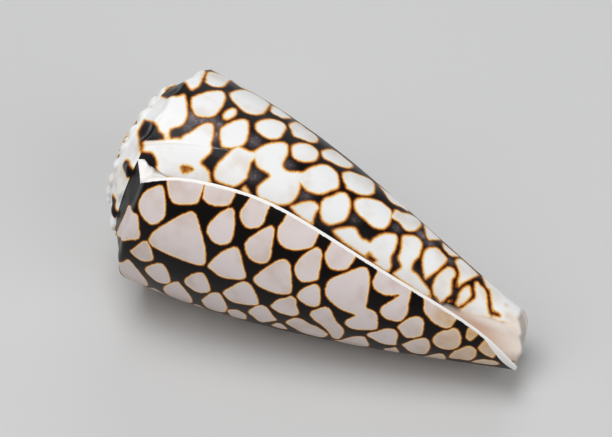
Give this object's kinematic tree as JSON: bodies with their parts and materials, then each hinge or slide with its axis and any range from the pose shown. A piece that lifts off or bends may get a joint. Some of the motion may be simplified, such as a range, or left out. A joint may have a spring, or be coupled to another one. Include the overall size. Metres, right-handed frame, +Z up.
{
  "type": "cone shell",
  "caption": "Marbled cone shell, a coiled sea shell with a low knobbed spire and a long narrow mouth, lying on its side as a natural ornament.",
  "frame": {"origin": "on the surface the shell lies on, under the middle of its bounding box", "axes": "+Z up, +X along the shell from the spire to the narrow end"},
  "size_m": [0.0788, 0.041, 0.0386],
  "materials": {
    "shell": "glossy natural shell, black net with thin amber borders around rounded white patches, pale pink inside"
  },
  "bodies": {
    "root": {"shell": "shell"}
  },
  "joints": []
}
